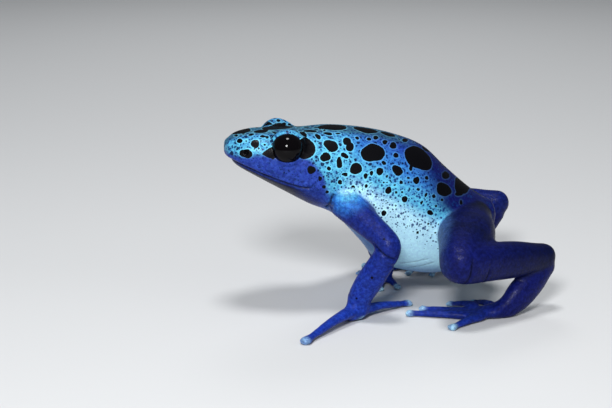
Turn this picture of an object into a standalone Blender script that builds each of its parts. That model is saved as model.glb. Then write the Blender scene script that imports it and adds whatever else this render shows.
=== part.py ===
"""Blue poison dart frog, life size, standing on its hands and feet with the head raised.

All modelling is in millimetres: the frog faces -X, its left side is -Y and the floor is z = 0. The
finished meshes are scaled to metres, with the origin at the middle of the frog's bounding box.
"""

import math

import bmesh
import bpy
import numpy as np
from mathutils import Vector

MM = 0.001

# Clearance between neighbouring pieces, in millimetres as all that follows
GAP = 0.3
FLOOR = 0.0

# Mesh fineness: rings along a form and points round it
BODY_RINGS = 36
BODY_SIDES = 28
LIMB_RINGS = 8
LIMB_SIDES = 12
CAP_RINGS = 2
DIGIT_RINGS = 11
DIGIT_SIDES = 8
EYE_SIDES = 20
SHARP_ANGLE = math.radians(50)

# Sections of head and trunk, snout to vent: back line x, z, then belly line x, z, half width,
# height of the widest line as a share of the section, and how square the section is above it
BODY_SECTIONS = [
    (-23.3, 24.1, -23.2, 21.6, 2.3, 0.42, 2.3),
    (-22.0, 24.9, -21.9, 20.3, 3.7, 0.40, 2.5),
    (-19.6, 25.3, -19.3, 18.7, 4.9, 0.36, 2.7),
    (-16.2, 25.3, -15.8, 16.7, 5.8, 0.34, 2.8),
    (-12.8, 25.2, -12.3, 14.7, 6.3, 0.38, 2.6),
    (-9.0, 25.4, -8.6, 12.8, 6.4, 0.45, 2.4),
    (-4.2, 24.9, -5.7, 8.8, 7.0, 0.46, 2.3),
    (0.4, 23.8, -2.0, 5.5, 7.6, 0.44, 2.2),
    (4.6, 22.0, 2.6, 3.9, 7.8, 0.42, 2.1),
    (7.9, 18.9, 7.6, 3.6, 7.1, 0.45, 2.0),
    (11.4, 15.8, 11.4, 5.9, 5.3, 0.50, 2.0),
    (14.2, 13.8, 14.0, 9.0, 3.2, 0.50, 2.0),
]
BELLY_SQUARE = 2.1
SNOUT_TIP = (-23.8, 0.0, 22.9)
VENT_TIP = (15.4, 0.0, 11.6)
NECK_BACK = (-10.2, 0.0, 25.3)
NECK_THROAT = (-11.2, 0.0, 14.0)

# The mouth: a groove under the widest line, from the snout to a corner, with the angles below that
# line of the groove's bottom and of the lower lip
MOUTH_DEPTH = 0.32
MOUTH_DROP = 0.045
LOWER_LIP_DROP = 0.1
MOUTH_CORNER = -11.8
MOUTH_FADE = 2.0

# Eyes with lids, nostrils and ears of the left side
EYE_RADIUS = 2.15
EYE_CENTRE = (-15.8, -4.5, 23.35)
EYE_LOOK = (-0.22, -0.95, 0.22)
LID_THICKNESS = 0.42
LID_DOME = (1.2, 0.98, 1.06)
LID_RIM = 0.3
LID_OPENING = 2.0
LID_FORWARD = 0.75
NOSTRIL = (-21.5, -3.3, 22.9)
NOSTRIL_RADIUS = 0.36
NOSTRIL_SHAPE = (1.2, 1.3, 0.8)
EAR = (-12.6, -5.05, 23.2)
EAR_FACING = (0.05, -1.0, 0.5)
EAR_RADIUS = 0.95
EAR_RIM = 0.2

# Joints of the left limbs, then those of the right that differ from their mirror image
SHOULDER = (-8.0, -5.6, 15.4)
ELBOW = (-2.8, -12.0, 10.5)
WRIST = (-7.0, -9.6, 2.8)
HIP = (11.2, -3.4, 12.7)
KNEE = (5.2, -16.6, 9.0)
HEEL = (19.3, -10.6, 7.6)
HOCK = (19.65, -10.6, 6.3)
FOOT_BASE = (13.5, -13.2, 1.2)
SOLE_REACH = (-5.2, 0.7, -0.35)
RIGHT_ELBOW = (-0.6, 11.5, 10.3)
RIGHT_WRIST = (1.4, 7.5, 2.6)
RIGHT_HEEL = (19.9, 11.8, 9.9)
RIGHT_HOCK = (20.25, 11.8, 8.6)

# Half sizes along each limb segment, from its first joint to its second: across the direction that
# is named for it here, or up for the others, then across both
FOREARM_ACROSS = (1, 0, 0.4)
TARSUS_ACROSS = (0.6, 0, 0.8)
SOLE_ACROSS = (0, 1, 0)
UP = (0, 0, 1)
UPPER_ARM = [(2.35, 2.3), (2.2, 2.0), (1.95, 1.8), (1.8, 1.7)]
FOREARM = [(1.65, 1.6), (1.85, 1.75), (1.8, 1.6), (1.65, 1.45)]
PALM = [(1.35, 1.2), (1.6, 1.1), (1.45, 0.95)]
THIGH = [(2.6, 2.7), (3.5, 3.3), (3.5, 3.2), (2.7, 2.6)]
SHANK = [(2.4, 2.4), (2.6, 2.35), (2.4, 2.1), (1.75, 1.65)]
TARSUS = [(1.3, 1.3), (1.7, 1.5), (1.65, 1.45), (1.35, 1.2)]
SOLE = [(1.45, 1.25), (1.75, 1.15), (1.7, 0.95)]

# A digit of size 1: half widths and half heights from its root to its pad, with two knuckles
DIGIT = [
    (0.80, 0.66), (0.66, 0.58), (0.54, 0.51), (0.55, 0.51), (0.47, 0.45), (0.44, 0.42),
    (0.62, 0.40), (0.70, 0.38), (0.48, 0.28),
]
DIGIT_TIP = 0.22
DIGIT_ROOT_HEIGHT = 0.72
PAD_HEIGHT = 0.27
KNUCKLE_SHARES = (0.35, 0.7, 0.9)
KNUCKLE_LIFTS = (0.12, 0.06, 0.02)

# The palm: height, reach beyond the wrist, turn, length and how far out its fingers are rooted
PALM_HEIGHT = 0.95
PALM_REACH = {"left": 0.3, "right": 0.9}
PALM_TURN = {"left": 215, "right": 160}
PALM_BACK = 0.5
PALM_FRONT = 0.6
FINGER_ROOT = 1.15

# Fingers, inner to outer: turn of the root in degrees, x and y of the tip, size, extra arch
FINGERS = {
    "left": [
        (21, 1.7, -5.3, 1.2, 0.45),
        (62, -4.1, -4.6, 1.1, 0.0),
        (100, -7.2, -3.6, 1.1, 0.0),
        (222, -16.7, -19.3, 1.25, 0.65),
    ],
    "right": [
        (-50, 2.0, 2.3, 1.0, 0.0),
        (-95, -0.9, 1.9, 1.05, 0.0),
        (-150, -2.7, 4.7, 1.1, 0.0),
        (130, -1.9, 11.0, 1.15, 0.0),
    ],
}

# How far each foot is turned outward, in degrees, from the stance that is measured below
FOOT_TURN = {"left": 0, "right": 18}

# Toes of the left foot, inner to outer: x and y of the root and of the tip from the sole's front
# end, and size
TOES = [
    (2.6, 1.3, 2.4, 5.6, 1.0),
    (1.2, 1.4, -1.2, 5.6, 1.05),
    (-0.3, 1.1, -5.5, 4.9, 1.15),
    (-0.8, -0.3, -7.9, 3.0, 1.25),
    (1.0, -1.4, -4.3, -4.9, 1.2),
]

SKIN_COLOUR = (0.03, 0.12, 0.6)
LIMB_COLOUR = (0.015, 0.04, 0.38)
EYE_COLOUR = (0.006, 0.005, 0.006)
SKIN_ROUGHNESS = 0.4
EYE_ROUGHNESS = 0.08


def unit(vector):
    vector = np.asarray(vector, float)
    return vector / np.linalg.norm(vector)


def mirrored(point):
    return (point[0], -point[1], point[2])


def swung(vector, degrees):
    """A vector turned about the vertical."""
    turn = math.radians(degrees)
    x, y, z = vector
    return np.array((
        x * math.cos(turn) - y * math.sin(turn), x * math.sin(turn) + y * math.cos(turn), z
    ))


def smooth_rows(points, where):
    """Values on the smooth curve through rows of points, at positions 0 to len(points) - 1."""
    points = np.asarray(points, float)
    span = np.minimum(where.astype(int), len(points) - 2)
    share = (where - span)[:, None]
    before = points[np.maximum(span - 1, 0)]
    start = points[span]
    end = points[span + 1]
    after = points[np.minimum(span + 2, len(points) - 1)]
    return 0.5 * (
        2 * start
        + (end - before) * share
        + (2 * before - 5 * start + 4 * end - after) * share**2
        + (3 * start - before - 3 * end + after) * share**3
    )


def closed_loft(name, rings, first, last):
    """A closed mesh through rings of equal length, shut by one point at each end."""
    bm = bmesh.new()
    rows = [[bm.verts.new(point) for point in ring] for ring in rings]
    pole, end_pole = bm.verts.new(first), bm.verts.new(last)
    sides = len(rows[0])
    for side in range(sides):
        beside = (side + 1) % sides
        for row, above in zip(rows, rows[1:]):
            bm.faces.new((row[side], row[beside], above[beside], above[side]))
        bm.faces.new((pole, rows[0][beside], rows[0][side]))
        bm.faces.new((end_pole, rows[-1][side], rows[-1][beside]))
    bmesh.ops.recalc_face_normals(bm, faces=bm.faces)
    mesh = bpy.data.meshes.new(name)
    bm.to_mesh(mesh)
    bm.free()
    return mesh


def limb_form(start, end, first_axis, sizes):
    """A limb segment: oval rings from start to end, and a round cap at each.

    The first half size of each row lies roughly along `first_axis`, the second across it.
    """
    start, end = np.array(start, float), np.array(end, float)
    along = unit(end - start)
    side = unit(np.array(first_axis, float) - np.dot(first_axis, along) * along)
    over = np.cross(along, side)
    steps = np.linspace(0, len(sizes) - 1, LIMB_RINGS)
    half = smooth_rows(sizes, steps)
    centres = start + np.outer(steps / (len(sizes) - 1), end - start)
    first_cap = along * half[0].mean()
    last_cap = along * half[-1].mean()
    bends = math.pi / 2 * np.arange(CAP_RINGS, 0, -1) / (CAP_RINGS + 1)
    before = [(start - first_cap * math.sin(b), half[0] * math.cos(b)) for b in bends]
    after = [(end + last_cap * math.sin(b), half[-1] * math.cos(b)) for b in bends[::-1]]
    turn = np.linspace(0, 2 * math.pi, LIMB_SIDES, endpoint=False)
    rings = [
        centre + np.outer(np.cos(turn) * size[0], side) + np.outer(np.sin(turn) * size[1], over)
        for centre, size in before + list(zip(centres, half)) + after
    ]
    return closed_loft("limb", rings, start - first_cap, end + last_cap)


def digit_form(path, size):
    """A finger or toe along a path from its root to its pad, with knuckles and a wider end disc."""
    steps = np.linspace(0, 1, DIGIT_RINGS)
    centres = smooth_rows(path, steps * (len(path) - 1))
    half = smooth_rows(DIGIT, steps * (len(DIGIT) - 1)) * size
    along = np.gradient(centres, axis=0)
    side = np.cross(along, (0, 0, 1))
    side /= np.linalg.norm(side, axis=1)[:, None]
    turn = np.linspace(0, 2 * math.pi, DIGIT_SIDES, endpoint=False)
    rings = (
        centres[:, None]
        + np.cos(turn)[None, :, None] * half[:, :1, None] * side[:, None]
        + np.sin(turn)[None, :, None] * half[:, 1:, None] * np.array((0, 0, 1.0))
    )
    first = centres[0] - unit(along[0]) * DIGIT_TIP
    last = centres[-1] + unit(along[-1]) * DIGIT_TIP * size
    return closed_loft("digit", rings, first, last)


def body_turns():
    """Angles round a section from the back, with two more rows at each side for the mouth."""
    even = np.linspace(0, math.pi, BODY_SIDES // 2 + 1)
    middle = len(even) // 2
    mouth = even[middle] + np.array((MOUTH_DROP, LOWER_LIP_DROP))
    half = np.concatenate([even[: middle + 1], mouth, even[middle + 1:]])
    return np.concatenate([half, 2 * math.pi - half[-2:0:-1]])


def body_form():
    """Head and trunk in one: each section spans from the belly line to the back line.

    A section is an ellipse below its widest line and squarer above it. On the head the widest
    line is the upper lip, with the mouth's groove just under it.
    """
    steps = np.linspace(0, len(BODY_SECTIONS) - 1, BODY_RINGS)
    turn = body_turns()
    up, out = np.cos(turn), np.sin(turn)
    from_back = math.pi - np.abs(math.pi - turn)
    groove = np.isclose(from_back, math.pi / 2 + MOUTH_DROP)
    rings = []
    for back_x, back_z, belly_x, belly_z, half, widest, square in smooth_rows(BODY_SECTIONS, steps):
        power = np.where(up >= 0, 2 / square, 2 / BELLY_SQUARE)
        reach = np.where(up >= 0, 1 - widest, widest)
        tall = widest + np.sign(up) * np.abs(up) ** power * reach
        wide = np.sign(out) * np.abs(out) ** power * half
        on_head = np.clip((MOUTH_CORNER - (back_x + belly_x) / 2) / MOUTH_FADE, 0, 1)
        wide -= np.sign(out) * groove * on_head * MOUTH_DEPTH
        belly = np.array((belly_x, 0, belly_z))
        height = np.array((back_x, 0, back_z)) - belly
        rings.append(belly + np.outer(tall, height) + np.outer(wide, (0, 1, 0)))
    return closed_loft("body", rings, SNOUT_TIP, VENT_TIP)


def add_object(name, mesh, colour, collection):
    obj = bpy.data.objects.new(name, mesh)
    mesh.materials.clear()
    mesh.materials.append(colour)
    collection.objects.link(obj)
    return obj


def keep_side(obj, point, normal):
    """Cuts the object with a plane, keeps what the normal points to, and caps the cut."""
    bm = bmesh.new()
    bm.from_mesh(obj.data)
    geometry = bm.verts[:] + bm.edges[:] + bm.faces[:]
    cut = bmesh.ops.bisect_plane(
        bm, geom=geometry, plane_co=Vector(point), plane_no=Vector(normal), clear_inner=True
    )
    edges = [item for item in cut["geom_cut"] if isinstance(item, bmesh.types.BMEdge)]
    bmesh.ops.holes_fill(bm, edges=edges, sides=0)
    bmesh.ops.recalc_face_normals(bm, faces=bm.faces)
    bm.to_mesh(obj.data)
    bm.free()


def combine(obj, meshes, operation):
    """Joins meshes to the object, or cuts them from it, with one Boolean."""
    colour = obj.data.materials[0]
    tools = bpy.data.collections.new("tools")
    bpy.context.scene.collection.children.link(tools)
    others = [add_object("tool", mesh, colour, tools) for mesh in meshes]
    modifier = obj.modifiers.new("combine", "BOOLEAN")
    modifier.operation = operation
    modifier.operand_type = "COLLECTION"
    modifier.collection = tools
    graph = bpy.context.evaluated_depsgraph_get()
    obj.data = bpy.data.meshes.new_from_object(obj.evaluated_get(graph))
    obj.modifiers.clear()
    for other in others:
        bpy.data.objects.remove(other)
    bpy.data.collections.remove(tools)
    keep_largest(obj.data)


def keep_largest(mesh):
    """Leaves only the largest closed surface of a mesh."""
    bm = bmesh.new()
    bm.from_mesh(mesh)
    bmesh.ops.remove_doubles(bm, verts=bm.verts, dist=0.0005)
    left = set(bm.verts)
    shells = []
    while left:
        shell = {left.pop()}
        border = list(shell)
        while border:
            beside = {edge.other_vert(vert) for vert in border for edge in vert.link_edges} - shell
            shell |= beside
            border = list(beside)
        left -= shell
        shells.append(shell)
    shells.sort(key=len)
    for shell in shells[:-1]:
        bmesh.ops.delete(bm, geom=list(shell), context="VERTS")
    bm.to_mesh(mesh)
    bm.free()


def grown(mesh):
    """A copy of a closed form with its surface moved out by the gap, to cut its neighbours with."""
    copy = mesh.copy()
    points = np.empty(len(copy.vertices) * 3)
    normals = np.empty(len(copy.vertices) * 3)
    copy.vertices.foreach_get("co", points)
    copy.vertices.foreach_get("normal", normals)
    copy.vertices.foreach_set("co", points + normals * GAP)
    return copy


def placed(bm, centre, facing=UP):
    """The mesh of a primitive, turned from +Z to a direction and moved to its centre."""
    turn = Vector(facing).to_track_quat("Z", "Y").to_matrix().to_4x4()
    turn.translation = Vector(centre)
    bm.transform(turn)
    mesh = bpy.data.meshes.new("form")
    bm.to_mesh(mesh)
    bm.free()
    return mesh


def ball(centre, radius, shape=(1, 1, 1), sides=EYE_SIDES):
    """A sphere, or an ellipsoid with its own shares of the radius along X, Y and Z."""
    bm = bmesh.new()
    bmesh.ops.create_uvsphere(bm, u_segments=sides, v_segments=sides // 2 + 1, radius=radius)
    bmesh.ops.scale(bm, vec=shape, verts=bm.verts)
    return placed(bm, centre)


def drum(centre, facing, radius, depth):
    """A short cylinder that faces a direction."""
    bm = bmesh.new()
    bmesh.ops.create_cone(
        bm, cap_ends=True, segments=EYE_SIDES, radius1=radius, radius2=radius, depth=depth
    )
    return placed(bm, centre, facing)


def bead_ring(centre, facing, radius, thickness):
    """A round bead on the head: the lids' rim round the eye, or the rim of the ear."""
    bpy.ops.mesh.primitive_torus_add(
        major_segments=EYE_SIDES, minor_segments=6, major_radius=radius, minor_radius=thickness
    )
    ring = bpy.context.object
    bm = bmesh.new()
    bm.from_mesh(ring.data)
    bpy.data.objects.remove(ring)
    return placed(bm, centre, facing)


def make_head_and_torso(body, frog, skin, pupil):
    """Head and trunk from one form, parted at the neck, with eyes, lids, nostrils and ears."""
    back = np.array(NECK_BACK)
    toward_head = unit(np.cross((0, 1, 0), np.array(NECK_THROAT) - back))
    toward_head *= -np.sign(toward_head[0])
    head = add_object("head", body.copy(), skin, frog)
    keep_side(head, back + toward_head * GAP / 2, toward_head)
    torso = add_object("torso", body.copy(), skin, frog)
    keep_side(torso, back - toward_head * GAP / 2, -toward_head)

    added, cut = [], []
    for side, turned in (("left", lambda point: point), ("right", mirrored)):
        centre = np.array(turned(EYE_CENTRE))
        look = unit(turned(EYE_LOOK))
        rim = centre + look * LID_FORWARD
        added.append(ball(centre, EYE_RADIUS + LID_THICKNESS, LID_DOME))
        added.append(bead_ring(rim, look, LID_OPENING + LID_RIM / 2, LID_RIM))
        added.append(bead_ring(turned(EAR), turned(EAR_FACING), EAR_RADIUS, EAR_RIM))
        cut.append(ball(centre, EYE_RADIUS + GAP))
        cut.append(drum(centre + look * EYE_RADIUS, look, LID_OPENING, 2 * EYE_RADIUS))
        cut.append(ball(turned(NOSTRIL), NOSTRIL_RADIUS, NOSTRIL_SHAPE, LIMB_SIDES))
        add_object(f"eye_{side}", ball(centre, EYE_RADIUS), pupil, frog)
    combine(head, added, "UNION")
    combine(head, cut, "DIFFERENCE")


def make_digit(name, root, tip, size, arch, hosts, frog, skin):
    """A finger or toe from its palm or sole to the floor, where its pad has a small flat.

    It is cut clear of the forms in `hosts`, the palm or sole and the digits made before it, and
    its own whole form is returned.
    """
    root = np.array((root[0], root[1], DIGIT_ROOT_HEIGHT + arch))
    tip = np.array((tip[0], tip[1], PAD_HEIGHT * size))
    path = [root]
    for share, lift in zip(KNUCKLE_SHARES, KNUCKLE_LIFTS):
        path.append(root + (tip - root) * share + (0, 0, lift * (1 + 2 * arch)))
    path.append(tip)
    form = digit_form(path, size)
    digit = add_object(name, form.copy(), skin, frog)
    keep_side(digit, (0, 0, FLOOR), (0, 0, 1))
    combine(digit, [grown(host) for host in hosts], "DIFFERENCE")
    return form


def make_arm(side, shoulder, elbow, wrist, body, frog, skin):
    """Upper arm, forearm, palm and four fingers, each cut clear of the piece before it."""
    upper_form = limb_form(shoulder, elbow, UP, UPPER_ARM)
    fore_form = limb_form(elbow, wrist, FOREARM_ACROSS, FOREARM)
    turn = math.radians(PALM_TURN[side])
    ahead = np.array((math.cos(turn), math.sin(turn), 0))
    across = np.array((-math.sin(turn), math.cos(turn), 0))
    palm_centre = np.array((wrist[0], wrist[1], PALM_HEIGHT)) + ahead * PALM_REACH[side]
    palm_back = palm_centre - ahead * PALM_BACK + (0, 0, PALM_BACK / 2)
    palm_form = limb_form(palm_back, palm_centre + ahead * PALM_FRONT, across, PALM)
    upper = add_object(f"upper_arm_{side}", upper_form.copy(), skin, frog)
    fore = add_object(f"forearm_{side}", fore_form.copy(), skin, frog)
    palm = add_object(f"palm_{side}", palm_form.copy(), skin, frog)
    combine(upper, [grown(body)], "DIFFERENCE")
    combine(fore, [grown(upper_form)], "DIFFERENCE")
    combine(palm, [grown(fore_form)], "DIFFERENCE")
    keep_side(palm, (0, 0, FLOOR), (0, 0, 1))
    hosts = [palm_form]
    for number, (degrees, tip_x, tip_y, size, arch) in enumerate(FINGERS[side], 1):
        turn = math.radians(degrees)
        root = palm_centre + np.array((math.cos(turn), math.sin(turn), 0)) * FINGER_ROOT
        name = f"finger_{number}_{side}"
        hosts.append(make_digit(name, root, (tip_x, tip_y), size, arch, hosts, frog, skin))


def make_leg(side, turned, heel, hock, body, frog, skin):
    """Thigh, shank, tarsus, sole and five toes, each cut clear of the piece before it."""
    swing = FOOT_TURN[side]
    foot_end = np.array(FOOT_BASE) + swung(SOLE_REACH, swing)
    knee, base, end = turned(KNEE), turned(FOOT_BASE), turned(foot_end)
    thigh_form = limb_form(turned(HIP), knee, UP, THIGH)
    shank_form = limb_form(knee, heel, UP, SHANK)
    tarsus_form = limb_form(hock, base, TARSUS_ACROSS, TARSUS)
    sole_form = limb_form(base, end, SOLE_ACROSS, SOLE)
    thigh = add_object(f"thigh_{side}", thigh_form.copy(), skin, frog)
    shank = add_object(f"shank_{side}", shank_form.copy(), skin, frog)
    tarsus = add_object(f"tarsus_{side}", tarsus_form.copy(), skin, frog)
    sole = add_object(f"sole_{side}", sole_form.copy(), skin, frog)
    combine(thigh, [grown(body)], "DIFFERENCE")
    combine(shank, [grown(thigh_form)], "DIFFERENCE")
    combine(tarsus, [grown(shank_form)], "DIFFERENCE")
    combine(sole, [grown(tarsus_form)], "DIFFERENCE")
    keep_side(tarsus, (0, 0, FLOOR), (0, 0, 1))
    keep_side(sole, (0, 0, FLOOR), (0, 0, 1))
    hosts = [sole_form]
    for number, (root_x, root_y, tip_x, tip_y, size) in enumerate(TOES, 1):
        root = turned(foot_end + swung((root_x, root_y, 0), swing))
        tip = turned(foot_end + swung((tip_x, tip_y, 0), swing))
        name = f"toe_{number}_{side}"
        hosts.append(make_digit(name, root, tip, size, 0.0, hosts, frog, skin))


def finish_in_metres(frog):
    """Scales every mesh to metres and puts the origin under the middle of the frog."""
    nodes = list(frog.objects)
    points = np.array([vertex.co for node in nodes for vertex in node.data.vertices])
    middle = (points.min(axis=0) + points.max(axis=0)) / 2
    shift = Vector((middle[0], middle[1], FLOOR))
    for node in nodes:
        for vertex in node.data.vertices:
            vertex.co = (vertex.co - shift) * MM
        node.data.shade_smooth()
        node.data.set_sharp_from_angle(angle=SHARP_ANGLE)
    print("origin moved by", [round(value, 3) for value in shift])


def coloured(name, colour, roughness):
    made = bpy.data.materials.new(name)
    made.use_nodes = True
    shader = made.node_tree.nodes["Principled BSDF"]
    shader.inputs["Base Color"].default_value = (*colour, 1.0)
    shader.inputs["Roughness"].default_value = roughness
    shader.inputs["Metallic"].default_value = 0.0
    return made


def main():
    for obj in list(bpy.data.objects):
        bpy.data.objects.remove(obj)
    frog = bpy.data.collections.new("blue_poison_dart_frog")
    bpy.context.scene.collection.children.link(frog)
    skin = coloured("skin_azure", SKIN_COLOUR, SKIN_ROUGHNESS)
    limb = coloured("limb_blue", LIMB_COLOUR, SKIN_ROUGHNESS)
    pupil = coloured("eye_black", EYE_COLOUR, EYE_ROUGHNESS)
    body = body_form()
    make_head_and_torso(body, frog, skin, pupil)
    make_arm("left", SHOULDER, ELBOW, WRIST, body, frog, limb)
    make_arm("right", mirrored(SHOULDER), RIGHT_ELBOW, RIGHT_WRIST, body, frog, limb)
    make_leg("left", lambda point: point, HEEL, HOCK, body, frog, limb)
    make_leg("right", mirrored, RIGHT_HEEL, RIGHT_HOCK, body, frog, limb)
    finish_in_metres(frog)


main()
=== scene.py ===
"""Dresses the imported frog: one skin over the whole body, two glossy eyes, and a pale studio.

Shapes are worked out in millimetres, with the frog facing -X, its left side -Y and the floor at
z = 0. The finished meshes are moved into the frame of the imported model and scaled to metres.
"""

import math

import bmesh
import bpy
import numpy as np
from bpy.props import FloatProperty, FloatVectorProperty, PointerProperty
from mathutils import Matrix, Vector


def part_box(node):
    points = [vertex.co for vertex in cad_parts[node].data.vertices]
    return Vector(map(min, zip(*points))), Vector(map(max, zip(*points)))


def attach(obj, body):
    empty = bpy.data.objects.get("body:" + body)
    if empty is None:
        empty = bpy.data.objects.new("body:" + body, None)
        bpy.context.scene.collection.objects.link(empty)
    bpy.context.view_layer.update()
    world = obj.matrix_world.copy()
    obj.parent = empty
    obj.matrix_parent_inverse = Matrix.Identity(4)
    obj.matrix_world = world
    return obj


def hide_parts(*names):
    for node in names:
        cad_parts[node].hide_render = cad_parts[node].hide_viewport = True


bl_info = {
    "name": "Blue Poison Dart Frog",
    "version": (1, 0, 0),
    "blender": (4, 5, 0),
    "location": "3D View > Sidebar > Frog",
    "description": "Skin, eyes and studio of a life-size frog model",
    "category": "Object",
}

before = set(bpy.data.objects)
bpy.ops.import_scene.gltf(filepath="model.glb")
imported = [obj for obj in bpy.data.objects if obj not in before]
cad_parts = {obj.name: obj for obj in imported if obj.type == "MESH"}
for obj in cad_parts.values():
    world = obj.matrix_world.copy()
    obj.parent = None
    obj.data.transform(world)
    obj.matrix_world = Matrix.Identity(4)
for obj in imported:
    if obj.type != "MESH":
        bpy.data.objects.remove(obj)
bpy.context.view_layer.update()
MM = 0.001

# Measures of the frog, in millimetres

# Sections of head and trunk, snout to vent: back line x, z, then belly line x, z, half width,
# height of the widest line as a share of the section, and how square the section is above it
BODY_SECTIONS = np.array([
    (-23.3, 24.1, -23.2, 21.6, 2.3, 0.42, 2.3),
    (-22.0, 24.9, -21.9, 20.3, 3.7, 0.40, 2.5),
    (-19.6, 25.3, -19.3, 18.7, 4.9, 0.36, 2.7),
    (-16.2, 25.3, -15.8, 16.7, 5.8, 0.34, 2.8),
    (-12.8, 25.2, -12.3, 14.7, 6.3, 0.38, 2.6),
    (-9.0, 25.4, -8.6, 12.8, 6.4, 0.45, 2.4),
    (-4.2, 24.9, -5.7, 8.8, 7.0, 0.46, 2.3),
    (0.4, 23.8, -2.0, 5.5, 7.6, 0.44, 2.2),
    (4.6, 22.0, 2.6, 3.9, 7.8, 0.42, 2.1),
    (7.9, 18.9, 7.6, 3.6, 7.1, 0.45, 2.0),
    (11.4, 15.8, 11.4, 5.9, 5.3, 0.50, 2.0),
    (14.2, 13.8, 14.0, 9.0, 3.2, 0.50, 2.0),
])
BELLY_SQUARE = 2.1
SNOUT_TIP = (-23.8, 0.0, 22.9)
VENT_TIP = (15.4, 0.0, 11.6)
# How far the chest is drawn in, at its station, and over how many stations
CHEST_DEPTH = 1.1
CHEST_STATION = 6.0
CHEST_SPAN = 0.75
LAST_STATION = len(BODY_SECTIONS) - 1

EYE_CENTRE = (-15.8, -4.5, 23.35)
EYE_LOOK = (-0.22, -0.95, 0.22)
# The head's domes round the eyes: shares of the eyeball's radius with a lid's thickness on it
LID_DOME = {"left": (1.14, 0.98, 1.06), "right": (1.32, 0.98, 1.06)}
LID_THICKNESS = 0.36
# The lid's rim over the eyeball, the roundness of the lid, the rim's width and the socket's depth
RIM_LIFT = 0.04
LID_ROUND = 0.3
RIM_WIDTH = 0.14
SOCKET_DEPTH = 0.35
# How near an eye a spot lies on its lid, and the radius of the ball that it is wrapped on there
LID_REACH = 3.2
LID_RADIUS = 2.6
NOSTRIL = (-21.5, -3.95, 22.95)
EAR = (-12.6, -5.05, 23.2)
# Bell curves of relief: height, middle and width, over the mouth's line, and out from the middle
# of a nostril and of an ear, whose disc is sunk
LIP_RELIEF = [(-0.3, 0.0, 0.15), (0.12, 0.5, 0.35), (0.06, -0.45, 0.3)]
NOSTRIL_RELIEF = [(-0.45, 0.0, 0.24), (0.14, 0.48, 0.18)]
EAR_RELIEF = [(0.08, 0.95, 0.2)]
EAR_DEPTH = 0.08

# Joints of the limbs; the hock, beside the heel, is where the tarsus begins
JOINTS = {
    "left": {
        "shoulder": (-8.0, -5.6, 15.6), "elbow": (-2.8, -12.0, 10.8), "wrist": (-7.0, -9.6, 2.8),
        "hip": (11.4, -3.4, 11.8), "knee": (5.2, -16.6, 9.0), "heel": (19.3, -10.6, 7.6),
        "hock": (19.65, -10.6, 6.3),
    },
    "right": {
        "shoulder": (-8.0, 5.6, 15.6), "elbow": (-0.6, 11.5, 10.3), "wrist": (1.4, 7.5, 2.6),
        "hip": (11.4, 3.4, 11.8), "knee": (5.2, 16.6, 9.0), "heel": (19.9, 11.8, 9.9),
        "hock": (19.6, 11.9, 8.4),
    },
}
FOOT_BASE = (13.5, -13.2, 1.2)
SOLE_REACH = (-5.2, 0.7, -0.7)
FOOT_TURN = {"left": 0, "right": 18}

THIGH_BOW = (0.0, 0.0, 0.35)

# Half sizes along each limb, three steps from joint to joint: across the direction named for it,
# then across both
UP = (0, 0, 1)
ARM_ACROSS = (0.9, 0.4, 0)
ARM = [
    (2.3, 2.2), (2.05, 2.0), (1.8, 1.75), (1.75, 1.7), (1.8, 1.75), (1.9, 1.8), (1.8, 1.65),
    (1.6, 1.4), (1.5, 1.1), (1.3, 0.8),
]
PALM = [(1.45, 1.15), (1.75, 1.15), (1.8, 1.1), (1.5, 0.95)]
LEG = [
    (2.4, 2.6), (2.8, 3.1), (3.1, 3.75), (3.4, 3.9), (3.4, 3.5), (3.1, 3.05), (2.85, 2.75),
    (2.65, 2.45), (2.5, 2.25), (1.9, 1.8),
]
TARSUS = [(1.6, 1.4), (2.1, 1.7), (2.15, 1.7), (1.7, 1.4)]
SOLE = [(1.08, 1.7), (0.82, 1.65), (0.58, 1.5)]
LIMB_ROUNDING = 0.9
LEG_SQUARE = 2.35
# The palm's own line is straight, so its rounding has nothing to do
PALM_ROUNDING = 0.05

# A digit of size 1: half widths and half heights from root to pad, its heights above the floor
DIGIT = [
    (1.0, 0.66), (0.85, 0.54), (0.7, 0.46), (0.6, 0.42), (0.5, 0.38), (0.43, 0.35),
    (0.58, 0.37), (0.72, 0.42), (0.52, 0.32),
]
DIGIT_TIP = 0.22
DIGIT_ROOT_HEIGHT = 0.72
PAD_HEIGHT = 0.32
KNUCKLE_SHARES = (0.35, 0.7, 0.9)
KNUCKLE_LIFTS = (0.12, 0.06, 0.02)

PALM_HEIGHT = 0.95
PALM_REACH = {"left": 0.3, "right": 0.9}
PALM_TURN = {"left": 215, "right": 160}
PALM_BACK = 0.9
PALM_FRONT = 1.0
FINGER_ROOT = 1.15

# Fingers, inner to outer: turn of the root in degrees, x and y of the tip, size, extra arch
FINGERS = {
    "left": [
        (21, 1.7, -5.3, 1.2, 0.45),
        (62, -4.1, -4.6, 1.1, 0.0),
        (100, -6.5, -3.9, 1.1, 0.0),
        (222, -16.7, -19.3, 1.25, 0.65),
    ],
    "right": [
        (-50, 2.0, 2.3, 1.0, 0.0),
        (-95, -0.9, 1.9, 1.05, 0.0),
        (-150, -2.7, 4.7, 1.1, 0.0),
        (130, -1.9, 11.0, 1.15, 0.0),
    ],
}

# Toes of the left foot, inner to outer: x and y of the root and of the tip from the sole's front
# end, size, extra arch
TOES = [
    (3.6, 1.7, 2.2, 6.3, 0.95, 0.35),
    (1.2, 1.4, -1.4, 5.9, 1.05, 0.45),
    (-0.3, 0.8, -5.95, 4.55, 1.1, -0.15),
    (-0.8, -0.3, -8.4, 2.6, 1.2, -0.15),
    (1.0, -1.4, -4.3, -5.0, 1.15, -0.1),
]

# Steps that even the skin out: toward the neighbours' mean, and back, which keeps thin parts
SETTLE = 0.5
UNSETTLE = -0.52
# How much of a heel's bend is kept from being evened out
HEEL_KEPT = 0.8
# Width in mm over which one form's colour gives way to the next one's
BLEND_WIDTH = 0.15

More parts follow.
